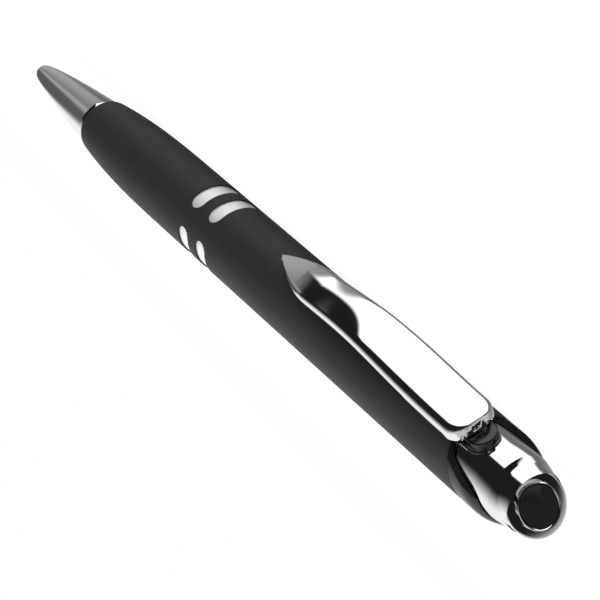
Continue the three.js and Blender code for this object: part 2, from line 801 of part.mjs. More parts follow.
const finishes = {
  softBlack: { color: 0x3a3838, roughness: 0.6, metalness: 0 },
  glossBlack: { color: 0x141316, roughness: 0.2, metalness: 0 },
  chrome: { color: 0xdcdde0, roughness: 0.08, metalness: 1 },
  aluminium: { color: 0xe4e4e2, roughness: 0.3, metalness: 1 },
  brass: { color: 0xc8a24e, roughness: 0.35, metalness: 1 },
  steel: { color: 0xb9bbbd, roughness: 0.3, metalness: 1 },
  whitePlastic: { color: 0xe8e6e0, roughness: 0.5, metalness: 0 },
};

const pen = new THREE.Group();
pen.position.set(0, (clipReach - tableHeight) / 2, tableHeight);

function add(name, solid, finish) {
  const mesh = new THREE.Mesh(toGeometry(solid), new THREE.MeshStandardMaterial(finish));
  mesh.name = name;
  pen.add(mesh);
}

add('barrel_sleeve', barrelSleeve(), finishes.softBlack);
add('barrel_tube', barrelTube(), finishes.aluminium);
add('rear_collar', rearCollar(), finishes.glossBlack);
add('front_bush', frontBush(), finishes.brass);
add('nose_cone', noseCone(), finishes.chrome);
add('finial_shell', finialShell(), finishes.chrome);
add('finial_core', finialCore(), finishes.glossBlack);
add('end_inset', endInset(), finishes.glossBlack);
add('inset_ring', insetRing(), finishes.chrome);
add('cam_sleeve', camSleeve(), finishes.whitePlastic);
add('cam_rotor', camRotor(), finishes.whitePlastic);
add('cam_plunger', camPlunger(), finishes.whitePlastic);
add('refill_tube', refillTube(), finishes.steel);
add('refill_point', refillPoint(), finishes.brass);
add('refill_plug', refillPlug(), finishes.whitePlastic);
add('refill_stop', refillStop(), finishes.steel);
add('writing_ball', writingBall(), finishes.steel);
add('return_spring', returnSpring(), finishes.steel);
add('clip_leaf', clipLeaf(), finishes.chrome);
add('clip_post', clipPost(), finishes.chrome);
add('clip_pin', clipPin(), finishes.steel);

export default pen;
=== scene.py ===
# %% [markdown]
# A push-button ballpoint pen, lying on a white table.
#
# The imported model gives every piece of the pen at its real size, made of flat facets. Here the
# pieces that show are modelled again with smooth, rounded surfaces, each in the place of its
# faceted twin, and everything gets its finish. This lesson starts with the camera and the light,
# goes on with a small set of bench tools and the pieces, and ends with the finishes.

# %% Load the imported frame
import json
from math import atan2, cos, degrees, hypot, pi, radians, sin, sqrt, tan

import bpy
from mathutils import Matrix, Vector


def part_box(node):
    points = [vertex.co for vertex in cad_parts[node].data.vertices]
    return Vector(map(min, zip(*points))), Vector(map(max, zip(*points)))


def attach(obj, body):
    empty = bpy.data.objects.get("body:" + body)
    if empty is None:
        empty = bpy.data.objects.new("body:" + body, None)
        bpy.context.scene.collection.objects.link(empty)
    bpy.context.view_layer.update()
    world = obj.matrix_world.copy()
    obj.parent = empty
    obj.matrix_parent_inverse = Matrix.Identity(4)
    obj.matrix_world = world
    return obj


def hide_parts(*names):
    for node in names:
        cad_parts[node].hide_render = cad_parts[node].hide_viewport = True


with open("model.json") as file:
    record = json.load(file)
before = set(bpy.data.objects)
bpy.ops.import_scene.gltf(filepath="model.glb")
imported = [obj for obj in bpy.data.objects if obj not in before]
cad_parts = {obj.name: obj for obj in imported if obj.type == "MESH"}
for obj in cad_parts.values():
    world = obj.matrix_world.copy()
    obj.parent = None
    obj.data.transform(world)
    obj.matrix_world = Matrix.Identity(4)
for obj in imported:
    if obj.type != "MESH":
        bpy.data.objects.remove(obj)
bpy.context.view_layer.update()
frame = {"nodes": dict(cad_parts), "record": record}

# %% [markdown]
# Sizes are easier to think about in millimetres, and a pen is easier to draw along its axis.
# So the pieces are made on a bench: X runs towards the writing tip, Z points to the clip, and
# the mouth of the nose cone is at zero. A station is a distance back from that mouth. When a
# piece is done, it is moved from the bench to its place in the pen, in metres.
#
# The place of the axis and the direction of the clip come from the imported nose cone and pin.

# %% The bench and the way back from it
MM = 0.001

nose_low, nose_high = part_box("nose_cone")
nose_middle = (nose_low + nose_high) / 2
pin_low, pin_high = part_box("clip_pin")
pin_middle = (pin_low + pin_high) / 2
pen_mouth = Vector((nose_high.x, nose_middle.y, nose_middle.z))
clip_dip = atan2(pen_mouth.z - pin_middle.z, pen_mouth.y - pin_middle.y)
bench_to_pen = (
    Matrix.Translation(pen_mouth) @ Matrix.Rotation(pi / 2 + clip_dip, 4, "X") @ Matrix.Scale(MM, 4)
)
print("the clip points", round(degrees(clip_dip), 2), "degrees below level")

# %% [markdown]
# The camera stands some 300 mm from the finial, behind the pen and on the clip's side, low over
# the table. A pen this near gives a strong perspective even through a long lens: the finial end is
# drawn a third larger than the tip. The camera is also rolled, so the pen runs across the picture.

# %% Camera
CAMERA_PLACE = Vector((-0.25386, -0.233473, 0.023968))
CAMERA_AZIMUTH = radians(44.205)
CAMERA_TILT = radians(-3.03)
CAMERA_ROLL = radians(-135.606)
LENS_MM = 144
SENSOR_MM = 36
NEAREST_SEEN = 0.01


def aim(azimuth, tilt, roll):
    """The turn of a camera that looks along azimuth, tilted up and rolled."""
    level = Matrix.Rotation(azimuth - pi / 2, 4, "Z") @ Matrix.Rotation(pi / 2 + tilt, 4, "X")
    return level @ Matrix.Rotation(roll, 4, "Z")


bpy.ops.object.camera_add()
camera = bpy.context.object
camera.name = "photo_camera"
camera.data.lens = LENS_MM
camera.data.sensor_width = SENSOR_MM
camera.data.clip_start = NEAREST_SEEN
camera_turn = aim(CAMERA_AZIMUTH, CAMERA_TILT, CAMERA_ROLL)
camera.matrix_world = Matrix.Translation(CAMERA_PLACE) @ camera_turn
bpy.context.scene.camera = camera
bpy.context.scene.view_settings.view_transform = "Standard"
print("the tip is", round(1000 * (pen_mouth - CAMERA_PLACE).length), "mm from the camera")

# %% [markdown]
# Shader maths reads best as plain expressions. The class below wraps a node's output, so that
# adding or multiplying two of them makes the Math node between them.

# %% Shader expressions
NOISE_ROUGHNESS = 0.55


class Wire:
    """A number that flows between shader nodes, on which Python's arithmetic works."""

    def __init__(self, graph, socket):
        self.graph = graph
        self.socket = socket

    def __add__(self, other):
        return self.graph.math("ADD", self, other)

    def __sub__(self, other):
        return self.graph.math("SUBTRACT", self, other)

    def __rsub__(self, other):
        return self.graph.math("SUBTRACT", other, self)

    def __mul__(self, other):
        return self.graph.math("MULTIPLY", self, other)

    __radd__ = __add__
    __rmul__ = __mul__


class Graph:
    """The node tree of one material or world."""

    def __init__(self, tree):
        self.tree = tree
        tree.nodes.clear()

    def node(self, kind, settings=None, output=0, **inputs):
        """Adds a node, sets it up, feeds its sockets and returns one output as a Wire."""
        made = self.tree.nodes.new(kind)
        for name, value in (settings or {}).items():
            setattr(made, name, value)
        for name, value in inputs.items():
            numbered = name[0] == "_" and name[1:].isdigit()
            key = int(name[1:]) if numbered else name.replace("_", " ")
            self.feed(made.inputs[key], value)
        return Wire(self, made.outputs[output]) if len(made.outputs) else None

    def feed(self, socket, value):
        """Links a Wire to a socket, or sets the socket to a plain value."""
        if isinstance(value, Wire):
            self.tree.links.new(value.socket, socket)
        else:
            socket.default_value = value

    def math(self, operation, first, second):
        return self.node("ShaderNodeMath", {"operation": operation}, _0=first, _1=second)

    def band(self, value, low, high):
        """0 up to low, 1 from high on and smooth between. With high below low it falls instead."""
        settings = {"interpolation_type": "SMOOTHSTEP"}
        return self.node("ShaderNodeMapRange", settings, _0=value, _1=low, _2=high)

    def blend(self, amount, first, second):
        """Mixes two colours."""
        settings = {"data_type": "RGBA"}
        return self.node("ShaderNodeMix", settings, output=2, _0=amount, _6=first, _7=second)

    def noise(self, place, scale, detail):
        return self.node(
            "ShaderNodeTexNoise", Vector=place, Scale=scale, Detail=detail, Roughness=NOISE_ROUGHNESS
        )

    def split(self, vector):
        """The three parts of a place or a direction."""
        parts = self.tree.nodes.new("ShaderNodeSeparateXYZ")
        self.feed(parts.inputs[0], vector)
        return [Wire(self, output) for output in parts.outputs]

    def ray(self, kind):
        """1 for the rays of one kind, 0 for all others."""
        path = self.tree.nodes.new("ShaderNodeLightPath")
        return Wire(self, path.outputs[kind])


# %% [markdown]
# The photograph has a pure white ground. The world is white for the camera, and gives only a
# gentle light to matt surfaces. What chrome shows is its surroundings, so mirrored rays find a
# studio instead. It could be built of real cards, but those would stand in the picture and shade
# the pen, so it is drawn by direction. Two numbers give a direction: how far it turns round the
# pen's axis, in degrees, and how far it leans along the axis, from -1 behind to 1 ahead.
#
# Zero turn is level on the clip's side, and there the studio is black. Turning down from it comes
# a white table, then the shade under the pen, and then the bright far side. Turning up from it
# comes a pale ceiling. Beyond the tip and behind the finial the studio has dimmer ends. Each pair
# of numbers says where a tone begins to show, and where it is full.

# %% The studio beside the pen
CARD_WHITE = 1.25
CARD_BLACK = 0.012
TABLE_EDGE = 14
TABLE_EDGE_SOFTNESS = 3
TABLE_EDGE_AHEAD = 15
SINK_AHEAD = 178
SINK_AHEAD_FROM = 0.66
SINK_BEHIND = 60
SINK_BEHIND_FROM = 0.25
TABLE_END = (98, 84)
TABLE_REACH = 0.85
TABLE_REACH_SKEW = 0.0028
TABLE_REACH_TURN = 55
TABLE_REACH_FADE = (0.015, -0.015)
FAR_TABLE_SHARE = 0.2
SHADE_START = (88, 98)
SHADE_LIFT = (105, 150)
SHADE_TONE = 0.13
FAR_SIDE_START = (150, 180)
FAR_SIDE_TONE = 0.65
CEILING_START = (-45, -112)
CEILING_TONE = 0.9


def white_table(graph, turn, lean_along):
    """The lit table. Its edge sinks towards both ends of the pen, and it is dim past the tip."""
    edge_ahead = TABLE_EDGE_AHEAD + SINK_AHEAD * (lean_along - SINK_AHEAD_FROM)
    edge_behind = TABLE_EDGE + SINK_BEHIND * (SINK_BEHIND_FROM - lean_along)
    edge = graph.math("MAXIMUM", graph.math("MAXIMUM", edge_ahead, edge_behind), TABLE_EDGE)
    reach = TABLE_REACH - TABLE_REACH_SKEW * (turn - TABLE_REACH_TURN)
    near = graph.band(lean_along - reach, *TABLE_REACH_FADE)
    dimmed = FAR_TABLE_SHARE + (1 - FAR_TABLE_SHARE) * near
    below_edge = graph.band(turn - edge, -TABLE_EDGE_SOFTNESS, TABLE_EDGE_SOFTNESS)
    return below_edge * graph.band(turn, *TABLE_END) * dimmed


def beside_pen(graph, turn, lean_along):
    table = CARD_WHITE * white_table(graph, turn, lean_along)
    lifted = SHADE_TONE + SHADE_TONE * graph.band(turn, *SHADE_LIFT)
    shade = graph.band(turn, *SHADE_START) * lifted
    far_side = graph.band(turn, *FAR_SIDE_START) * FAR_SIDE_TONE
    ceiling = graph.band(turn, *CEILING_START) * CEILING_TONE
    return CARD_BLACK + table + shade + far_side + ceiling


# %% The studio's ends
TIP_TONE = 0.1
TIP_LIFT = (-50, 100)
TIP_LIFT_TONE = 0.26
TIP_STRIP_START = (-32, -8)
TIP_STRIP_END = (17, -7)
TIP_STRIP_TONE = 0.2
REAR_CARD_RISE = 0.6
REAR_CARD_START = (-0.5, 0.5)
REAR_CARD_RIM = (-0.68, -0.7)
REAR_CARD_TONE = 0.5
CAMERA_END_START = (0.02, 0.12)
CAMERA_END_TONE = 0.45
AHEAD = (0.855, 0.89)
BEHIND = (-0.15, -0.4)
FAR_BEHIND = (-0.78, -0.88)


def beyond_tip(graph, turn):
    """Dim, lighter below, with a pale strip at the level of the pen."""
    lift = TIP_LIFT_TONE * graph.band(turn, *TIP_LIFT)
    strip = graph.band(turn, *TIP_STRIP_START) * graph.band(turn, *TIP_STRIP_END)
    return TIP_TONE + lift + TIP_STRIP_TONE * strip


def behind_finial(graph, side, up, lean_along):
    """A grey card that comes in from the far side and above, and all round near the axis."""
    from_far_side = graph.band(side + REAR_CARD_RISE * up, *REAR_CARD_START)
    rim = graph.band(lean_along, *REAR_CARD_RIM)
    return CARD_BLACK + REAR_CARD_TONE * graph.math("MAXIMUM", from_far_side, rim)


def camera_end(graph, side):
    """Straight behind the pen: black on the clip's side, grey on the far side."""
    return CARD_BLACK + CAMERA_END_TONE * graph.band(side, *CAMERA_END_START)


def studio(graph):
    """Brightness of the surroundings that chrome mirrors, by direction."""
    direction = graph.node("ShaderNodeTexCoord", output=0)
    lean_along, side, up = graph.split(direction)
    turn = graph.math("ARCTAN2", up * -1, side * -1) * (180 / pi)
    ahead = graph.band(lean_along, *AHEAD)
    behind = graph.band(lean_along, *BEHIND)
    far_behind = graph.band(lean_along, *FAR_BEHIND)
    tone = beside_pen(graph, turn, lean_along) * (1 - ahead) + beyond_tip(graph, turn) * ahead
    tone = tone * (1 - behind) + behind_finial(graph, side, up, lean_along) * behind
    return tone * (1 - far_behind) + camera_end(graph, side) * far_behind


# %% World
WHITE = (1, 1, 1, 1)
SOFT_LIGHT = 0.55

world = bpy.data.worlds.new("studio")
bpy.context.scene.world = world
world.use_nodes = True
sky = Graph(world.node_tree)
seen = sky.ray("Is Camera Ray")
mirrored = sky.ray("Is Glossy Ray")
through = sky.ray("Is Transmission Ray")
full_strength = sky.math("MAXIMUM", seen, sky.math("MAXIMUM", mirrored, through))
tone = studio(sky)
mirror_color = sky.node("ShaderNodeCombineXYZ", _0=tone, _1=tone, _2=tone)
color = sky.blend(mirrored, WHITE, mirror_color)
strength = full_strength * (1 - SOFT_LIGHT) + SOFT_LIGHT
glow = sky.node("ShaderNodeBackground", Color=color, Strength=strength)
sky.node("ShaderNodeOutputWorld", Surface=glow)
print("the studio is drawn with", len(sky.tree.nodes), "nodes")

# %% [markdown]
# The table is a plane of white paper. For the camera most of it glows white, and the share that
# is left as paper keeps the pen's soft shadow. One weak soft box hangs over the pen. Chrome sees
# neither of them, because the studio above already holds its table and its light.

# %% Floor
FLOOR_SIZE = 4
PAPER = (0.85, 0.85, 0.84, 1)
FLOOR_GLOW = 1.03
FLOOR_GLOW_SHARE = 0.93

bpy.ops.mesh.primitive_plane_add(size=FLOOR_SIZE, location=(0, 0, 0))
floor = bpy.context.object
floor.name = "floor"
floor.visible_glossy = False


def white_ground():
    """A white floor that keeps its shadows."""
    material = bpy.data.materials.new("white_ground")
    material.use_nodes = True
    graph = Graph(material.node_tree)
    paper = graph.node("ShaderNodeBsdfDiffuse", Color=PAPER)
    lit = graph.node("ShaderNodeEmission", Color=WHITE, Strength=FLOOR_GLOW)
    share = graph.ray("Is Camera Ray") * FLOOR_GLOW_SHARE
    mixed = graph.node("ShaderNodeMixShader", _0=share, _1=paper, _2=lit)
    graph.node("ShaderNodeOutputMaterial", Surface=mixed)
    return material


floor.data.materials.append(white_ground())

# %% Lamp
LAMP_PLACE = Vector((0.0, 0.05, 0.6))
LAMP_SIZE = 0.5
LAMP_POWER = 4.0

bpy.ops.object.light_add(type="AREA", location=LAMP_PLACE)
lamp = bpy.context.object
lamp.name = "top_light"
lamp.data.size = LAMP_SIZE
lamp.data.energy = LAMP_POWER
lamp.visible_glossy = False
lamp.rotation_mode = "QUATERNION"
lamp.rotation_quaternion = (-LAMP_PLACE).to_track_quat("-Z", "Y")

# %% [markdown]
# Most of a pen comes off a lathe. Its outline is drawn as a chain of points in edit mode, one
# extrude after another, and spun round the axis. The doubled points where the turn closes, and
# those on the axis, are merged.

# %% Lathe
TURN_STEPS = 128
DOUBLE_GAP = 0.002


def clear_selection():
    if bpy.context.object and bpy.context.object.mode == "EDIT":
        bpy.ops.object.mode_set(mode="OBJECT")
    bpy.ops.object.select_all(action="DESELECT")


def tidy_surface(made):
    """Merges doubled points and turns all faces outwards."""
    if made.mode != "EDIT":
        bpy.context.view_layer.objects.active = made
        bpy.ops.object.mode_set(mode="EDIT")
    bpy.ops.mesh.select_all(action="SELECT")
    bpy.ops.mesh.remove_doubles(threshold=DOUBLE_GAP)
    bpy.ops.mesh.normals_make_consistent(inside=False)
    bpy.ops.object.mode_set(mode="OBJECT")


def lathe(name, outline, steps=TURN_STEPS):
    """Turns an outline of (station, radius) points round the pen's axis."""
    clear_selection()
    bpy.ops.mesh.primitive_plane_add(size=1, location=(0, 0, 0))
    made = bpy.context.object
    made.name = name
    bpy.ops.object.mode_set(mode="EDIT")
    bpy.ops.mesh.merge(type="CENTER")
    places = [Vector((-station, 0, radius)) for station, radius in outline]
    bpy.ops.transform.translate(value=places[0])
    for before, after in zip(places, places[1:]):
        bpy.ops.mesh.extrude_vertices_move(TRANSFORM_OT_translate={"value": after - before})
    bpy.ops.mesh.select_all(action="SELECT")
    bpy.ops.mesh.spin(steps=steps, angle=2 * pi, center=(0, 0, 0), axis=(1, 0, 0))
    tidy_surface(made)
    return made


def rod(name, front, rear, radius):
    """A solid turned bar between two stations."""
    return lathe(name, [(front, 0), (front, radius), (rear, radius), (rear, 0)])


# %% [markdown]
# What the lathe can't do is done with modifiers, each applied at once: cutting, joining and
# trimming with other solids, and rounding of sharp edges, because no edge of a real pen is
# perfectly sharp and chrome shows each one as a bright line.

# %% Cutting, rounding and settling
EDGE_ANGLE = 35
SMOOTH_ANGLE = radians(32)


def modify(made, kind, **settings):
    """Adds a modifier and applies it at once."""
    clear_selection()
    made.select_set(True)
    bpy.context.view_layer.objects.active = made
    modifier = made.modifiers.new(kind.lower(), kind)
    for name, value in settings.items():
        setattr(modifier, name, value)
    bpy.ops.object.modifier_apply(modifier=modifier.name)


def combine(made, operation, *others):
    """Cuts, joins or trims a piece with each of the others, and then throws them out."""
    for other in others:
        modify(made, "BOOLEAN", operation=operation, object=other, solver="EXACT")
        bpy.data.objects.remove(other)


def block(front, rear, half_width, bottom, top):
    """A plain block between two stations, on the clip's side."""
    clear_selection()
    middle = (-(front + rear) / 2, 0, (bottom + top) / 2)
    bpy.ops.mesh.primitive_cube_add(size=1, location=middle)
    made = bpy.context.object
    made.scale = (rear - front, 2 * half_width, top - bottom)
    bpy.ops.object.transform_apply(location=True, rotation=True, scale=True)
    return made


def round_edges(made, width, segments=3, angle=EDGE_ANGLE):
    modify(
        made,
        "BEVEL",
        width=width,
        segments=segments,
        limit_method="ANGLE",
        angle_limit=radians(angle),
        use_clamp_overlap=True,
        harden_normals=False,
    )


def settle(made, body, *nodes, material_slot=None):
    """Takes a finished piece from the bench to its place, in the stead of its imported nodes."""
    clear_selection()
    made.select_set(True)
    bpy.context.view_layer.objects.active = made
    bpy.ops.object.transform_apply(location=True, rotation=True, scale=True)
    made.data.transform(bench_to_pen)
    bpy.ops.object.shade_smooth_by_angle(angle=SMOOTH_ANGLE)
    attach(made, body)
    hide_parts(*nodes)
    print(made.name, "has", len(made.data.polygons), "faces")


# %% Drawing curves
def share_of(count):
    """0 to 1 in equal steps."""
    return [step / count for step in range(count + 1)]


def mix(first, second, share):
    return first + (second - first) * share


def smooth(value, low, high):
    share = min(max((value - low) / (high - low), 0), 1)
    return share * share * (3 - 2 * share)


# %% [markdown]
# The mouth of the barrel and the end of the finial are cut on a slant, as if a saw had gone
# through at 27 degrees off square, with the short side under the clip. Leaning a turned piece
# does the same: each of its points slides along the axis by its height towards the clip.

# %% Slanted ends
END_SLANT = radians(27)
NEAR = 0.01


def lean(made, weight):
    """Slants the places of a turned piece to which weight(station, radius) gives more than 0."""
    for vertex in made.data.vertices:
        amount = weight(-vertex.co.x, hypot(vertex.co.y, vertex.co.z))
        vertex.co.x += tan(END_SLANT) * amount * vertex.co.z


def everywhere(station, radius):
    return 1


# %% [markdown]
# These sizes are shared by several pieces: stations along the pen, and the radii at which one
# piece fits in the next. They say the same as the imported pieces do.

# %% Sizes along the pen
NOSE_LENGTH = 22.0
BARREL_FRONT = 22.1
MOUTH = 126.9
BARREL_RADIUS = 5.8
BARREL_FRONT_RADIUS = 4.5
SLEEVE_BORE = 5.6
TUBE_RADIUS = 5.55
TUBE_BORE = 4.98
FINIAL_RADIUS = 4.9
FINIAL_END = 136.8
CLIP_REAR = 127.2

# %% [markdown]
# The nose cone is a chromed turning. Its sides are not straight: they bow out a little, most
# near the mouth, and the mouth has a small rounded lip round the hole of the writing point. Its
# inside is turned too, from the thread that screws into the barrel to the seat of the spring.

# %% Nose cone
NOSE_MOUTH_RADIUS = 1.2
NOSE_BASE_RADIUS = 4.2
NOSE_BOW = 0.68
NOSE_SPREAD = 1.6
NOSE_HOLE_RADIUS = 0.87
NOSE_HOLE_END = 2.0
NOSE_THROAT_STATION = 3.0
NOSE_THROAT_RADIUS = 1.25
NOSE_NECK_STATION = 5.5
NOSE_SEAT_STATION = 8.9
NOSE_SEAT_RADIUS = 1.62
NOSE_ROOM_RADIUS = 2.35
NOSE_THREAD_RADIUS = 3.25
NOSE_THREAD_END = 31.0
NOSE_LIP_ROUNDING = 0.12


def nose_radius(station):
    return mix(NOSE_MOUTH_RADIUS, NOSE_BASE_RADIUS, (station / NOSE_LENGTH) ** NOSE_BOW)


nose_stations = [share ** NOSE_SPREAD * NOSE_LENGTH for share in share_of(36)]
nose_outline = [(0, NOSE_HOLE_RADIUS)]
nose_outline += [(station, nose_radius(station)) for station in nose_stations]
nose_outline += [
    (NOSE_LENGTH, NOSE_THREAD_RADIUS),
    (NOSE_THREAD_END, NOSE_THREAD_RADIUS),
    (NOSE_THREAD_END, NOSE_ROOM_RADIUS),
    (NOSE_SEAT_STATION, NOSE_ROOM_RADIUS),
    (NOSE_SEAT_STATION, NOSE_SEAT_RADIUS),
    (NOSE_NECK_STATION, NOSE_SEAT_RADIUS),
    (NOSE_THROAT_STATION, NOSE_THROAT_RADIUS),
    (NOSE_HOLE_END, NOSE_HOLE_RADIUS),
    (0, NOSE_HOLE_RADIUS),
]
nose = lathe("nose_turning", nose_outline)
round_edges(nose, NOSE_LIP_ROUNDING, angle=50)
settle(nose, "nose", "nose_cone", material_slot="chrome")

# %% [markdown]
# A press on the finial pushes the brass point and its writing ball out of the nose. The ball sits
# in a round cup, and the point steps up to the width of the refill. Both are turned, because a
# real point comes off a small lathe as well.

# %% Writing point and ball
BALL_RADIUS = 0.5
BALL_STATION = 1.8
CUP_RADIUS = 0.55
POINT_MOUTH = 1.75
POINT_LIP_RADIUS = 0.62
POINT_CONE_END = 3.3
POINT_TIP_RADIUS = 0.75
POINT_TIP_END = 8.2
POINT_BODY_FRONT = 9.4
POINT_BODY_RADIUS = 1.12
POINT_FLANGE_FRONT = 11.5
POINT_FLANGE_RADIUS = 1.5
POINT_FLANGE_REAR = 12.1
POINT_SPIGOT_RADIUS = 1.17
POINT_REAR = 15.0

point_outline = [
    (BALL_STATION + CUP_RADIUS * cos(share * pi / 2), CUP_RADIUS * sin(share * pi / 2))
    for share in share_of(8)
]
point_outline += [
    (POINT_MOUTH, CUP_RADIUS),
    (POINT_MOUTH, POINT_LIP_RADIUS),
    (POINT_CONE_END, POINT_TIP_RADIUS),
    (POINT_TIP_END, POINT_TIP_RADIUS),
    (POINT_BODY_FRONT, POINT_BODY_RADIUS),
    (POINT_FLANGE_FRONT, POINT_BODY_RADIUS),
    (POINT_FLANGE_FRONT, POINT_FLANGE_RADIUS),
    (POINT_FLANGE_REAR, POINT_FLANGE_RADIUS),
    (POINT_FLANGE_REAR, POINT_SPIGOT_RADIUS),
    (POINT_REAR, POINT_SPIGOT_RADIUS),
    (POINT_REAR, 0),
]
point = lathe("brass_point", point_outline, steps=64)
settle(point, "refill", "refill_point", material_slot="brass")

ball_outline = [
    (BALL_STATION - BALL_RADIUS * cos(share * pi), BALL_RADIUS * sin(share * pi))
    for share in share_of(16)
]
ball = lathe("rolling_ball", ball_outline, steps=48)
settle(ball, "ball", "writing_ball", material_slot="refill_steel")

# %% [markdown]
# The barrel is an aluminium tube under a soft black sleeve. The sleeve swells from the nose to
# its full radius over the first quarter. Two rings of three long slots with round ends are cut
# through it, and the bright tube shows in them. The slots could be painted on, but real ones have
# a depth, so they are cut with curved tools.

# %% Tools that cut a slot
SLOT_STATIONS = (57.4, 62.35)
SLOT_WIDTH = 2.8
SLOT_ARC = radians(86)
SLOT_TURN = radians(19)
SLOTS_IN_RING = 3
CUTTER_HEIGHT = 2.0


def slot_cutters(station, turn):
    """A curved bar with a round peg at each end: together they cut one slot."""
    straight = SLOT_ARC / 2 - SLOT_WIDTH / 2 / BARREL_RADIUS
    clear_selection()
    bpy.ops.mesh.primitive_plane_add(
        size=1, location=(-station, 0, BARREL_RADIUS), rotation=(pi / 2, 0, 0)
    )
    bar = bpy.context.object
    bar.scale = (SLOT_WIDTH, CUTTER_HEIGHT, 1)
    bpy.ops.object.transform_apply(location=True, rotation=True, scale=True)
    bar.data.transform(Matrix.Rotation(turn - straight, 4, "X"))
    bpy.ops.object.mode_set(mode="EDIT")
    bpy.ops.mesh.select_all(action="SELECT")
    bpy.ops.mesh.spin(steps=32, angle=2 * straight, center=(0, 0, 0), axis=(-1, 0, 0))
    tidy_surface(bar)
    cutters = [bar]
    for angle in (turn - straight, turn + straight):
        place = (-station, -BARREL_RADIUS * sin(angle), BARREL_RADIUS * cos(angle))
        clear_selection()
        bpy.ops.mesh.primitive_cylinder_add(
            vertices=48,
            radius=SLOT_WIDTH / 2,
            depth=CUTTER_HEIGHT,
            location=place,
            rotation=(angle, 0, 0),
        )
        cutters.append(bpy.context.object)
    return cutters


# %% Barrel sleeve
SWELL_LENGTH = 26.0
SWELL_POWER = 2.8
SWELL_SPREAD = 1.4
SLEEVE_ROUNDING = 0.3
SLEEVE_FRONT_WALL = 0.45
SLEEVE_STEP = 44.0
POST_SLOT_HALF_WIDTH = 2.44
POST_SLOT_FRONT = 119.18
POST_SLOT_BOTTOM = 4.2
POST_SLOT_TOP = 8.4


def barrel_radius(station):
    along = min(max((station - BARREL_FRONT) / SWELL_LENGTH, 0), 1)
    return mix(BARREL_FRONT_RADIUS, BARREL_RADIUS, 1 - (1 - along) ** SWELL_POWER)


def post_slot():
    """What is cut from the barrel's mouth, so that the clip's post can travel."""
    return block(
        POST_SLOT_FRONT, FINIAL_END, POST_SLOT_HALF_WIDTH, POST_SLOT_BOTTOM, POST_SLOT_TOP
    )


sleeve_edge_radius = BARREL_FRONT_RADIUS - SLEEVE_ROUNDING
sleeve_front_bore = BARREL_FRONT_RADIUS - SLEEVE_FRONT_WALL
sleeve_outline = [(BARREL_FRONT, sleeve_edge_radius)]
sleeve_outline += [
    (
        BARREL_FRONT + SLEEVE_ROUNDING * (1 - cos(share * pi / 2)),
        BARREL_FRONT_RADIUS - SLEEVE_ROUNDING * (1 - sin(share * pi / 2)),
    )
    for share in share_of(5)[1:]
]
swell_stations = [
    BARREL_FRONT + mix(2 * SLEEVE_ROUNDING, SWELL_LENGTH, share ** SWELL_SPREAD)
    for share in share_of(28)
]
sleeve_outline += [(station, barrel_radius(station)) for station in swell_stations]
sleeve_outline += [(station, BARREL_RADIUS) for station in range(50, 120, 4)]
sleeve_outline += [
    (MOUTH, BARREL_RADIUS),
    (MOUTH, SLEEVE_BORE),
    (SLEEVE_STEP, SLEEVE_BORE),
    (SLEEVE_STEP, sleeve_front_bore),
    (BARREL_FRONT, sleeve_front_bore),
    (BARREL_FRONT, sleeve_edge_radius),
]
sleeve = lathe("barrel_skin", sleeve_outline)
lean(sleeve, lambda station, radius: 1 if station > MOUTH - NEAR else 0)
for station in SLOT_STATIONS:
    for place in range(SLOTS_IN_RING):
        turn = SLOT_TURN + place * 2 * pi / SLOTS_IN_RING
        combine(sleeve, "DIFFERENCE", *slot_cutters(station, turn))
combine(sleeve, "DIFFERENCE", post_slot())
settle(sleeve, "barrel", "barrel_sleeve", material_slot="soft_black")

# %% [markdown]
# The bright tube shows in the slots only. It is a plain turned tube, as in the real pen.

# %% Inner tube
TUBE_FRONT = 44.1
TUBE_REAR = 116.9

tube_outline = [
    (TUBE_FRONT, TUBE_BORE),
    (TUBE_FRONT, TUBE_RADIUS),
    (TUBE_REAR, TUBE_RADIUS),
    (TUBE_REAR, TUBE_BORE),
    (TUBE_FRONT, TUBE_BORE),
]
tube = lathe("bright_tube_turning", tube_outline)
settle(tube, "barrel", "barrel_tube", material_slot="bright_tube")

# %% [markdown]
# A glossy black collar closes the barrel. Its front edge meets the slanted mouth, its outside
# domes in towards the finial, and on the clip's side it is scooped away along a steep slant, so
# that only two claws reach back beside the finial. Inside the sleeve the scoop stops, because
# there the collar's spigot backs the thin sleeve all round.

# %% Tool that scoops the collar
SCOOP_SLANT = radians(64.4)
SCOOP_REACH = 5.8
SCOOP_BLOCK = 40
SCOOP_RADIUS = 12
SCOOP_INSET = 0.1


def scoop_cutter():
    """All beyond the scoop's slanted plane, but only from just inside the mouth on."""
    clear_selection()
    bpy.ops.mesh.primitive_cube_add(size=SCOOP_BLOCK, location=(0, 0, SCOOP_BLOCK / 2))
    made = bpy.context.object
    bpy.ops.object.transform_apply(location=True, rotation=True, scale=True)
    beyond = Vector((-cos(SCOOP_SLANT), 0, sin(SCOOP_SLANT)))
    turn = Vector((0, 0, 1)).rotation_difference(beyond).to_matrix().to_4x4()
    made.data.transform(Matrix.Translation((-(MOUTH + SCOOP_REACH), 0, 0)) @ turn)
    outside = rod("outside", MOUTH - SCOOP_INSET, FINIAL_END, SCOOP_RADIUS)
    lean(outside, everywhere)
    combine(made, "INTERSECT", outside)
    return made


# %% Rear collar
COLLAR_FRONT = 117.0
COLLAR_REACH = 4.7
COLLAR_GAP = 0.056
DOME_LENGTH = 2.6
DOME_POWER = 2.2
COLLAR_LIP_RADIUS = 5.06

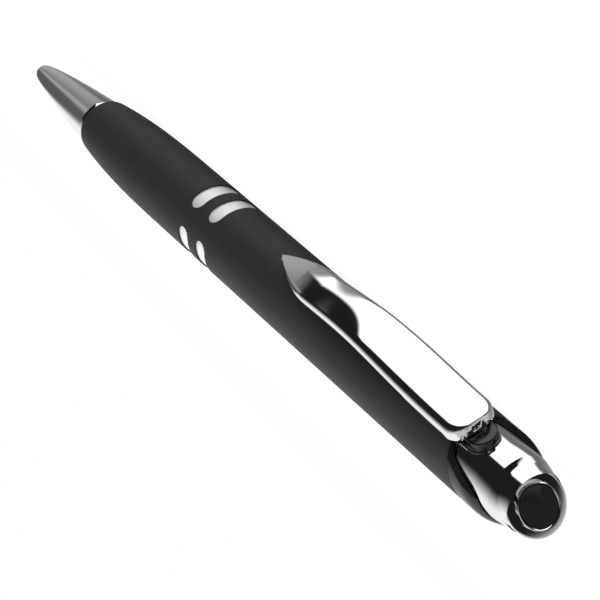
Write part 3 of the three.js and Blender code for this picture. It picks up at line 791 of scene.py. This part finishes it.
dome_rear = MOUTH + COLLAR_REACH
dome_front = dome_rear - DOME_LENGTH
collar_shoulder = MOUTH + COLLAR_GAP
collar_outline = [
    (COLLAR_FRONT, TUBE_BORE),
    (COLLAR_FRONT, TUBE_RADIUS),
    (collar_shoulder, TUBE_RADIUS),
    (collar_shoulder, BARREL_RADIUS),
]
collar_outline += [
    (mix(dome_front, dome_rear, share), mix(BARREL_RADIUS, COLLAR_LIP_RADIUS, share ** DOME_POWER))
    for share in share_of(14)
]
collar_outline += [(dome_rear, TUBE_BORE), (COLLAR_FRONT, TUBE_BORE)]
collar = lathe("collar_band", collar_outline)
lean(collar, lambda station, radius: 1 if station > collar_shoulder - NEAR else 0)
combine(collar, "DIFFERENCE", post_slot(), scoop_cutter())
settle(collar, "barrel", "rear_collar", material_slot="gloss_black")

# %% [markdown]
# The chrome finial is the push button. It tapers to a slanted end face with a narrow rounded rim.
# It is turned straight and then leaned, and the slant comes in along the taper, so that the
# finial's front stays square and slides in the barrel.

# %% Finial
FINIAL_FRONT = 120.5
FINIAL_TAPER = 3.6
FINIAL_END_RADIUS = 4.25
FINIAL_ROUNDING = 0.35
FINIAL_BORE = 4.4
FINIAL_HOLLOW_END = 133.2
RECESS_DEPTH = 1.0
RECESS_RADIUS = 2.96

taper_start = FINIAL_END - FINIAL_TAPER
taper_end = FINIAL_END - FINIAL_ROUNDING


def finial_lean(station, radius):
    """Full on the end face, growing along the taper, and none in the hollow.

    The last rows of the taper are narrower than the hollow, so they get none either. They stay
    square while the end face leans, and the mesh folds there.
    """
    if radius < RECESS_RADIUS + NEAR and station > FINIAL_HOLLOW_END + NEAR:
        return 1
    if radius < FINIAL_BORE + NEAR and station < taper_end:
        return 0
    return min(max((station - taper_start) / (taper_end - taper_start), 0), 1)


finial_outline = [(FINIAL_FRONT, FINIAL_BORE), (FINIAL_FRONT, FINIAL_RADIUS)]
finial_outline += [(station, FINIAL_RADIUS) for station in (124, 128, 130)]
finial_outline += [
    (mix(taper_start, taper_end, share), mix(FINIAL_RADIUS, FINIAL_END_RADIUS, share))
    for share in share_of(12)[:-1]
]
finial_outline += [
    (
        taper_end + FINIAL_ROUNDING * sin(share * pi / 2),
        FINIAL_END_RADIUS - FINIAL_ROUNDING * (1 - cos(share * pi / 2)),
    )
    for share in share_of(8)
]
finial_outline += [
    (FINIAL_END, RECESS_RADIUS),
    (FINIAL_END - RECESS_DEPTH, RECESS_RADIUS),
    (FINIAL_END - RECESS_DEPTH, 0),
    (FINIAL_HOLLOW_END, 0),
    (FINIAL_HOLLOW_END, FINIAL_BORE),
    (FINIAL_FRONT, FINIAL_BORE),
]
finial = lathe("finial_shell_turning", finial_outline, steps=160)
lean(finial, finial_lean)
settle(finial, "button", "finial_shell", material_slot="chrome")

# %% [markdown]
# A black inset in a thin bright ring stands out of the end face like a low boss. Both sit in the
# finial's recess, lean with its end face and have chamfered edges.

# %% Inset and ring
INSET_RADIUS = 2.6
INSET_SINK = 0.05
INSET_CHAMFER = 0.12
RING_BORE = 2.65
RING_RADIUS = 2.91
RING_PROUD = 0.75
RING_CHAMFER = 0.08
RING_CHAMFER_LENGTH = 0.1
RECESS_FLOOR_GAP = 0.1

inset_back = FINIAL_END - RECESS_DEPTH + RECESS_FLOOR_GAP
ring_front = FINIAL_END + RING_PROUD
inset_front = ring_front - INSET_SINK
inset_outline = [
    (inset_back, 0),
    (inset_back, INSET_RADIUS),
    (inset_front - INSET_CHAMFER, INSET_RADIUS),
    (inset_front, INSET_RADIUS - INSET_CHAMFER),
    (inset_front, 0),
]
inset = lathe("black_inset", inset_outline, steps=96)
lean(inset, everywhere)
settle(inset, "button", "end_inset", material_slot="gloss_black")

ring_outline = [
    (inset_back, RING_BORE),
    (inset_back, RING_RADIUS),
    (ring_front - RING_CHAMFER_LENGTH, RING_RADIUS),
    (ring_front, RING_RADIUS - RING_CHAMFER),
    (ring_front, RING_BORE + RING_CHAMFER),
    (ring_front - RING_CHAMFER_LENGTH, RING_BORE),
    (inset_back, RING_BORE),
]
ring = lathe("bright_ring", ring_outline, steps=96)
lean(ring, everywhere)
settle(ring, "button", "inset_ring", material_slot="chrome")

# %% [markdown]
# The clip is pressed from one sheet. Seen from above it is a long leaf: a rounded front that
# droops to the barrel, an arched body that widens to the rear, and two rounded rear corners. Its
# top is slightly crowned, its shoulders are rounded, and its walls turn straight down. A low ridge
# under the front grips the paper or cloth that the clip holds.
#
# A box with a subdivision surface would give such a shape too, but its edges have to follow the
# photograph's. So it is shaped from a grid. The grid's columns run round the leaf's outline, and
# its rows climb from the foot of the wall, over the shoulder, to the clip's middle line, where
# they meet. Then Solidify gives the sheet its thickness.

# %% Clip from above and from the side
CLIP_LENGTH = 46.9
CLIP_FRONT = CLIP_REAR - CLIP_LENGTH
CLIP_TOP = 8.4
CLIP_ARCH = 1.5
CLIP_ARCH_LENGTH = 23.5
CLIP_LEVEL_LENGTH = 2.4
CLIP_HALF_WIDTH = 3.7
CLIP_REAR_HALF_WIDTH = 3.65
CLIP_CORNER_RADIUS = 2.9
CLIP_WALL = 1.8
CLIP_WALL_START = 5.7
CLIP_WALL_FULL = 14.2
CLIP_STEP_LENGTH = 35.0
CLIP_STEP_DEPTH = 0.4
CLIP_STEP_SOFTNESS = 0.2
LEAF_LENGTH = 9.5
LEAF_HALF_WIDTH = 3.1
LEAF_ROUNDNESS = 0.85
LEAF_RISE = 2.55
LEAF_THICKNESS = 1.1
LEAF_DROOP = 0.35
LEAF_DROOP_LENGTH = 6.0
LEAF_DROOP_POWER = 1.3
POST_RADIUS = 2.1
POST_CLEARANCE = 0.16


def clip_half_width(station):
    along = station - CLIP_FRONT
    rise = min(along / LEAF_LENGTH, 1)
    if rise < 1:
        return LEAF_HALF_WIDTH * sin(pi / 2 * rise) ** LEAF_ROUNDNESS
    swell = smooth(along, LEAF_LENGTH, CLIP_STEP_LENGTH)
    taper = smooth(along, CLIP_STEP_LENGTH, CLIP_LENGTH)
    arm = mix(LEAF_HALF_WIDTH, CLIP_HALF_WIDTH, swell)
    arm -= taper * (CLIP_HALF_WIDTH - CLIP_REAR_HALF_WIDTH)
    into_corner = max(station - (CLIP_REAR - CLIP_CORNER_RADIUS), 0)
    return arm - CLIP_CORNER_RADIUS + sqrt(max(CLIP_CORNER_RADIUS ** 2 - into_corner ** 2, 0))


def clip_top(station):
    along = station - CLIP_FRONT
    arch_top = CLIP_TOP + CLIP_ARCH
    if along > CLIP_ARCH_LENGTH:
        fall = smooth(along, CLIP_ARCH_LENGTH, CLIP_LENGTH - CLIP_LEVEL_LENGTH)
        return mix(arch_top, CLIP_TOP, fall)
    rise = smooth(along, LEAF_DROOP_LENGTH, CLIP_ARCH_LENGTH)
    droop = LEAF_DROOP * (1 - min(along / LEAF_DROOP_LENGTH, 1)) ** LEAF_DROOP_POWER
    return mix(BARREL_RADIUS + LEAF_RISE, arch_top, rise) - droop


def clip_bottom(station, across):
    """The foot of the wall: shallow in front, deep behind, and cut up over the post."""
    along = station - CLIP_FRONT
    deepening = smooth(along, CLIP_WALL_START, CLIP_WALL_FULL)
    step_start = CLIP_STEP_LENGTH - CLIP_STEP_SOFTNESS
    step_end = CLIP_STEP_LENGTH + CLIP_STEP_SOFTNESS
    beside_post = abs(across) < POST_RADIUS + POST_CLEARANCE
    over_post = station > CLIP_REAR - CLIP_CORNER_RADIUS and beside_post
    step = 0 if over_post else CLIP_STEP_DEPTH * smooth(along, step_start, step_end)
    return clip_top(station) - mix(LEAF_THICKNESS, CLIP_WALL, deepening) - step


# %% The clip's skin
CLIP_COLUMNS = 240
CLIP_CROWN = 0.45
CLIP_SHOULDER = 0.9
SHOULDER_ROWS = 6
TOP_ROWS = 10
SPINE_SETBACK = 3
LEAST_FOOT = 0.1


def clip_outline(share):
    """Station and side place of the leaf's edge, from its point round the rear and back."""
    side = 1 if share < 0.5 else -1
    along = (1 - cos(2 * pi * share)) / 2
    station = mix(CLIP_FRONT, CLIP_REAR, along)
    return station, side * clip_half_width(station)


def clip_place(share, row):
    """A point of the clip's outer skin: share round the outline, row up and inwards."""
    station, across = clip_outline(share)
    width_share = abs(across) / CLIP_HALF_WIDTH
    shoulder = min(CLIP_SHOULDER * width_share, abs(across))
    crown = CLIP_CROWN * width_share ** 2
    wall = clip_top(station) - crown - clip_bottom(station, across)
    fall = min(shoulder, wall - LEAST_FOOT)
    spine = min(max(station, CLIP_FRONT + SPINE_SETBACK), CLIP_REAR - CLIP_CORNER_RADIUS)
    inward = Vector((spine - station, -across))
    reach = inward.length
    if row == 0:
        return station, across, clip_bottom(station, across)
    if row <= SHOULDER_ROWS:
        bend = (row - 1) / (SHOULDER_ROWS - 1) * pi / 2
        step_in = shoulder * (1 - cos(bend))
        drop = fall * (1 - sin(bend))
    else:
        step_in = mix(shoulder, reach, (row - SHOULDER_ROWS) / TOP_ROWS)
        drop = 0
    place = Vector((station, across)) + inward * (step_in / reach)
    left = 1 - step_in / reach
    return place.x, place.y, clip_top(place.x) - crown * left ** 2 - drop


def shaped_grid(name, columns, rows, place):
    """A grid whose columns close to a ring, each point moved to place(share, row)."""
    clear_selection()
    bpy.ops.mesh.primitive_grid_add(
        x_subdivisions=columns, y_subdivisions=rows, size=2, location=(0, 0, 0)
    )
    made = bpy.context.object
    made.name = name
    for vertex in made.data.vertices:
        share = (vertex.co.x + 1) / 2
        row = round((vertex.co.y + 1) / 2 * rows)
        station, across, height = place(share % 1, row)
        vertex.co = (-station, across, height)
    tidy_surface(made)
    return made


# %% The clip's pressing
CLIP_SHEET = 0.7
CLIP_EDGE_ROUNDING = 0.1
HOLE_HEIGHT = 0.45
HOLE_WIDTH = 1.2
HOLE_PLACE = (-CLIP_REAR, 0.3, 7.2)
NOTCH_FRONT = CLIP_REAR - 0.9
NOTCH_REAR = CLIP_REAR + 0.5
NOTCH_OUTSIDE = 2.2
NOTCH_INSIDE = 2.0
NOTCH_BOTTOM = 6
NOTCH_TOP = 6.9
NOTCH_SPARE = 0.1
RIDGE_SETBACK = 8.4
RIDGE_LENGTH = 0.9
RIDGE_BOTTOM = 5.95

clip = shaped_grid("clip_leaf_pressing", CLIP_COLUMNS, SHOULDER_ROWS + TOP_ROWS, clip_place)
modify(clip, "SOLIDIFY", thickness=CLIP_SHEET, offset=-1, use_even_offset=False)

clear_selection()
bpy.ops.mesh.primitive_cylinder_add(vertices=32, radius=0.5, depth=2, rotation=(0, pi / 2, 0))
hole = bpy.context.object
hole.scale = (HOLE_HEIGHT, HOLE_WIDTH, 1)
hole.location = HOLE_PLACE
bpy.ops.object.transform_apply(location=True, rotation=True, scale=True)

notches = block(NOTCH_FRONT, NOTCH_REAR, NOTCH_OUTSIDE, NOTCH_BOTTOM, NOTCH_TOP)
notch_middle = block(
    NOTCH_FRONT - NOTCH_SPARE,
    NOTCH_REAR + NOTCH_SPARE,
    NOTCH_INSIDE,
    NOTCH_BOTTOM - NOTCH_SPARE,
    NOTCH_TOP + NOTCH_SPARE,
)
combine(notches, "DIFFERENCE", notch_middle)
combine(clip, "DIFFERENCE", hole, notches)

ridge_front = CLIP_FRONT + RIDGE_SETBACK
ridge_half_width = clip_half_width(ridge_front) - CLIP_SHEET / 4
ridge_top = clip_top(ridge_front) - LEAF_THICKNESS / 2
ridge = block(ridge_front, ridge_front + RIDGE_LENGTH, ridge_half_width, RIDGE_BOTTOM, ridge_top)
combine(clip, "UNION", ridge)
round_edges(clip, CLIP_EDGE_ROUNDING, angle=50)
settle(clip, "clip", "clip_leaf", material_slot="chrome")

# %% [markdown]
# The clip's post stands on the finial: flat in front, round behind, with a thin flange at its
# foot. The clip's pin goes through a lug on top of it. The post is a cylinder that is cut in half,
# with its flat side moved forwards, and a copy of the finial's round cuts the foot to fit.
# Chrome doesn't mirror it, because its dark reflection would smear over the finial.

# %% Clip post
POST_CENTRE = 127.4
POST_FRONT = 125.1
POST_BOTTOM = 3.4
POST_TOP = 6.35
POST_ROUNDING = 0.22
FLANGE_WIDTH = 0.18
FLANGE_RADIUS = 5.3
FLANGE_BLANK_TOP = 5.8
LUG_HALF_WIDTH = 1.6
LUG_HALF_LENGTH = 0.95
LUG_BOTTOM = 6.1
LUG_ROUNDING = 0.15
PIN_STATION = 124.6
PIN_HEIGHT = 7.15
PIN_RADIUS = 0.35
SADDLE_GAP = 0.04


def column(name, radius, front, bottom, top):
    """A round column whose front is cut flat and moved out to its own station."""
    clear_selection()
    bpy.ops.mesh.primitive_cylinder_add(
        vertices=96, radius=radius, depth=top - bottom, location=(-POST_CENTRE, 0, (top + bottom) / 2)
    )
    made = bpy.context.object
    made.name = name
    bpy.ops.object.transform_apply(location=True, rotation=True, scale=True)
    bpy.ops.object.mode_set(mode="EDIT")
    bpy.ops.mesh.select_all(action="SELECT")
    bpy.ops.mesh.bisect(
        plane_co=(-POST_CENTRE, 0, 0), plane_no=(1, 0, 0), use_fill=True, clear_outer=True
    )
    bpy.ops.mesh.extrude_region_move(TRANSFORM_OT_translate={"value": (POST_CENTRE - front, 0, 0)})
    tidy_surface(made)
    return made


post = column("clip_bracket", POST_RADIUS, POST_FRONT, POST_BOTTOM, POST_TOP)
round_edges(post, POST_ROUNDING, segments=4, angle=50)
flange = column(
    "flange", POST_RADIUS + FLANGE_WIDTH, POST_FRONT - FLANGE_WIDTH, POST_BOTTOM, FLANGE_BLANK_TOP
)
combine(flange, "INTERSECT", rod("drum", 120, 134, FLANGE_RADIUS))
lug = block(
    PIN_STATION - LUG_HALF_LENGTH,
    PIN_STATION + LUG_HALF_LENGTH,
    LUG_HALF_WIDTH,
    LUG_BOTTOM,
    PIN_HEIGHT + PIN_RADIUS,
)
round_edges(lug, LUG_ROUNDING)
combine(post, "UNION", flange, lug)
combine(post, "DIFFERENCE", rod("saddle", 118, 136, FINIAL_RADIUS + SADDLE_GAP))
settle(post, "button", "clip_post", material_slot="dark_chrome")
post.visible_glossy = False

# %% [markdown]
# The pin is a short steel bar across the pen, with rounded ends. It hides in the clip.

# %% Clip pin
PIN_HALF_LENGTH = 3.25
PIN_ROUNDING = 0.08

clear_selection()
bpy.ops.mesh.primitive_cylinder_add(
    vertices=32,
    radius=PIN_RADIUS,
    depth=2 * PIN_HALF_LENGTH,
    location=(-PIN_STATION, 0, PIN_HEIGHT),
    rotation=(pi / 2, 0, 0),
)
pin = bpy.context.object
pin.name = "clip_axle"
round_edges(pin, PIN_ROUNDING)
settle(pin, "button", "clip_pin", material_slot="spring_steel")

# %% [markdown]
# Every finish ends in one Principled shader. What varies over it is small: cloudy noise in the
# roughness, which keeps a large surface from looking like plain paint, and fine stretched noise
# where a real piece shows the lines of the lathe or of the die.

# %% Helpers for finishes
EVEN = (1000, 1000, 1000)


def new_material(name):
    material = bpy.data.materials.new(name)
    material.use_nodes = True
    return material, Graph(material.node_tree)


def object_place(graph, stretch=EVEN):
    """Object coordinates in millimetres, or stretched more one way."""
    place = graph.node("ShaderNodeTexCoord", output=3)
    return graph.node("ShaderNodeMapping", Vector=place, Scale=stretch)


def surface(graph, color, roughness, height=None, bump=0.0, **settings):
    """The closing Principled shader, with an optional bump in metres."""
    made = graph.tree.nodes.new("ShaderNodeBsdfPrincipled")
    graph.feed(made.inputs["Base Color"], color)
    graph.feed(made.inputs["Roughness"], roughness)
    for name, value in settings.items():
        graph.feed(made.inputs[name.replace("_", " ")], value)
    if height is not None:
        normal = graph.node("ShaderNodeBump", Height=height, Distance=bump, Strength=1.0)
        graph.feed(made.inputs["Normal"], normal)
    graph.node("ShaderNodeOutputMaterial", Surface=Wire(graph, made.outputs[0]))


# %% [markdown]
# The sleeve has a soft-touch coat: nearly black, with a wide weak sheen and a very fine grain.
# The collar and the inset are moulded in glossy black. The clicker is pale acetal, which is
# smooth but not glossy.

# %% Plastics
SOFT_BLACK_DARK = (0.024, 0.021, 0.023, 1)
SOFT_BLACK_PALE = (0.030, 0.026, 0.029, 1)
GRAIN_HEIGHT = 0.000004
GLOSS_BLACK = (0.014, 0.012, 0.014, 1)
ACETAL_DARK = (0.76, 0.75, 0.7, 1)
ACETAL_PALE = (0.82, 0.81, 0.77, 1)


def soft_black():
    material, graph = new_material("soft_touch_black")
    place = object_place(graph)
    grain = graph.noise(place, 14.0, 2.0)
    cloud = graph.noise(place, 0.12, 2.0)
    color = graph.blend(cloud, SOFT_BLACK_DARK, SOFT_BLACK_PALE)
    roughness = 0.5 + 0.1 * cloud + 0.05 * grain
    surface(graph, color, roughness, grain, GRAIN_HEIGHT, Specular_IOR_Level=0.3)
    return material


def gloss_black():
    material, graph = new_material("glossy_black")
    cloud = graph.noise(object_place(graph), 0.4, 2.0)
    surface(graph, GLOSS_BLACK, 0.12 + 0.1 * cloud)
    return material


def pale_plastic():
    material, graph = new_material("moulded_acetal")
    cloud = graph.noise(object_place(graph), 1.5, 3.0)
    color = graph.blend(cloud, ACETAL_DARK, ACETAL_PALE)
    surface(graph, color, 0.4 + 0.1 * cloud)
    return material


# %% [markdown]
# Chrome is all mirror, so its look is the studio's. The clip's front bends down a little more in
# the photograph than its sheet does here. A bump that grows from where the bend starts tilts the
# mirror as that bend would, and the outline stays. The post is plated too, but it stands in the
# clip's deep shade, where the studio can't be seen, so its plating is drawn dark.

# %% Chrome
CHROME = (0.95, 0.955, 0.96, 1)
SHADED_CHROME = (0.07, 0.07, 0.075, 1)
FRONT_BEND = 0.016
FRONT_BEND_LENGTH = 10.5


def chrome():
    material, graph = new_material("polished_chrome")
    cloud = graph.noise(object_place(graph), 0.3, 3.0)
    surface(graph, CHROME, 0.02 + 0.05 * cloud, Metallic=1.0)
    return material


def clip_chrome():
    """Chrome that shines as if the clip's front bent down a little more than the sheet does."""
    material, graph = new_material("pressed_chrome")
    place = object_place(graph)
    cloud = graph.noise(place, 0.3, 3.0)
    along = graph.split(place)[0]
    clip_tip = 1000 * pen_mouth.x - CLIP_FRONT
    from_bend = graph.math("MAXIMUM", along - (clip_tip - FRONT_BEND_LENGTH), 0)
    drop = from_bend * from_bend * FRONT_BEND
    surface(graph, CHROME, 0.02 + 0.05 * cloud, drop * -1, MM, Metallic=1.0)
    return material


def shaded_chrome():
    material, graph = new_material("shaded_chrome")
    cloud = graph.noise(object_place(graph), 0.5, 3.0)
    surface(graph, SHADED_CHROME, 0.15 + 0.12 * cloud, Metallic=1.0)
    return material


# %% [markdown]
# The tube and the point are turned, so fine lines run round them. The refill is drawn through a
# die, so its lines run along it, and the spring and the pin take the same steel. The tube is part
# matt, because in the photograph's slots it looks evenly white.

# %% Turned and drawn metals
TURNED = (4000, 60, 60)
DRAWN = (200, 3000, 3000)
TUBE_TINT = (0.93, 0.93, 0.92, 1)
BRASS_TINT = (0.62, 0.43, 0.17, 1)
STEEL_TINT = (0.5, 0.51, 0.52, 1)


def lined_metal(name, tint, stretch, roughness, spread=0.15, metallic=1.0):
    """Metal with fine lines round it or along it, which spread its roughness."""
    material, graph = new_material(name)
    lines = graph.noise(object_place(graph, stretch), 1.0, 2.0)
    surface(graph, tint, roughness + spread * lines, Metallic=metallic)
    return material


finish_of_slot = {
    "soft_black": soft_black(),
    "gloss_black": gloss_black(),
    "chrome": chrome(),
    "dark_chrome": shaded_chrome(),
    "bright_tube": lined_metal("bright_aluminium", TUBE_TINT, TURNED, 0.42, 0.1, 0.45),
    "brass": lined_metal("turned_brass", BRASS_TINT, TURNED, 0.2),
    "refill_steel": lined_metal("drawn_steel", STEEL_TINT, DRAWN, 0.22),
    "spring_steel": lined_metal("spring_wire", STEEL_TINT, DRAWN, 0.22),
    "clicker_plastic": pale_plastic(),
    "inner_plastic": gloss_black(),
}
print("finishes:", [material.name for material in finish_of_slot.values()])

# %% [markdown]
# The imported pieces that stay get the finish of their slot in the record, and the new pieces get
# theirs by name. The clip comes last, with a chrome of its own.

# %% Dressing the pieces
slot_of_node = {entry["node"]: entry["material_slot"] for entry in frame["record"]["subparts"]}


def dress(target, material):
    target.data.materials.clear()
    target.data.materials.append(material)


for node, target in frame["nodes"].items():
    dress(target, finish_of_slot[slot_of_node[node]])

piece_finishes = {
    sleeve: "soft_black",
    tube: "bright_tube",
    collar: "gloss_black",
    nose: "chrome",
    point: "brass",
    ball: "refill_steel",
    finial: "chrome",
    inset: "gloss_black",
    ring: "chrome",
    post: "dark_chrome",
    pin: "spring_steel",
}
for target, slot in piece_finishes.items():
    dress(target, finish_of_slot[slot])
dress(clip, clip_chrome())
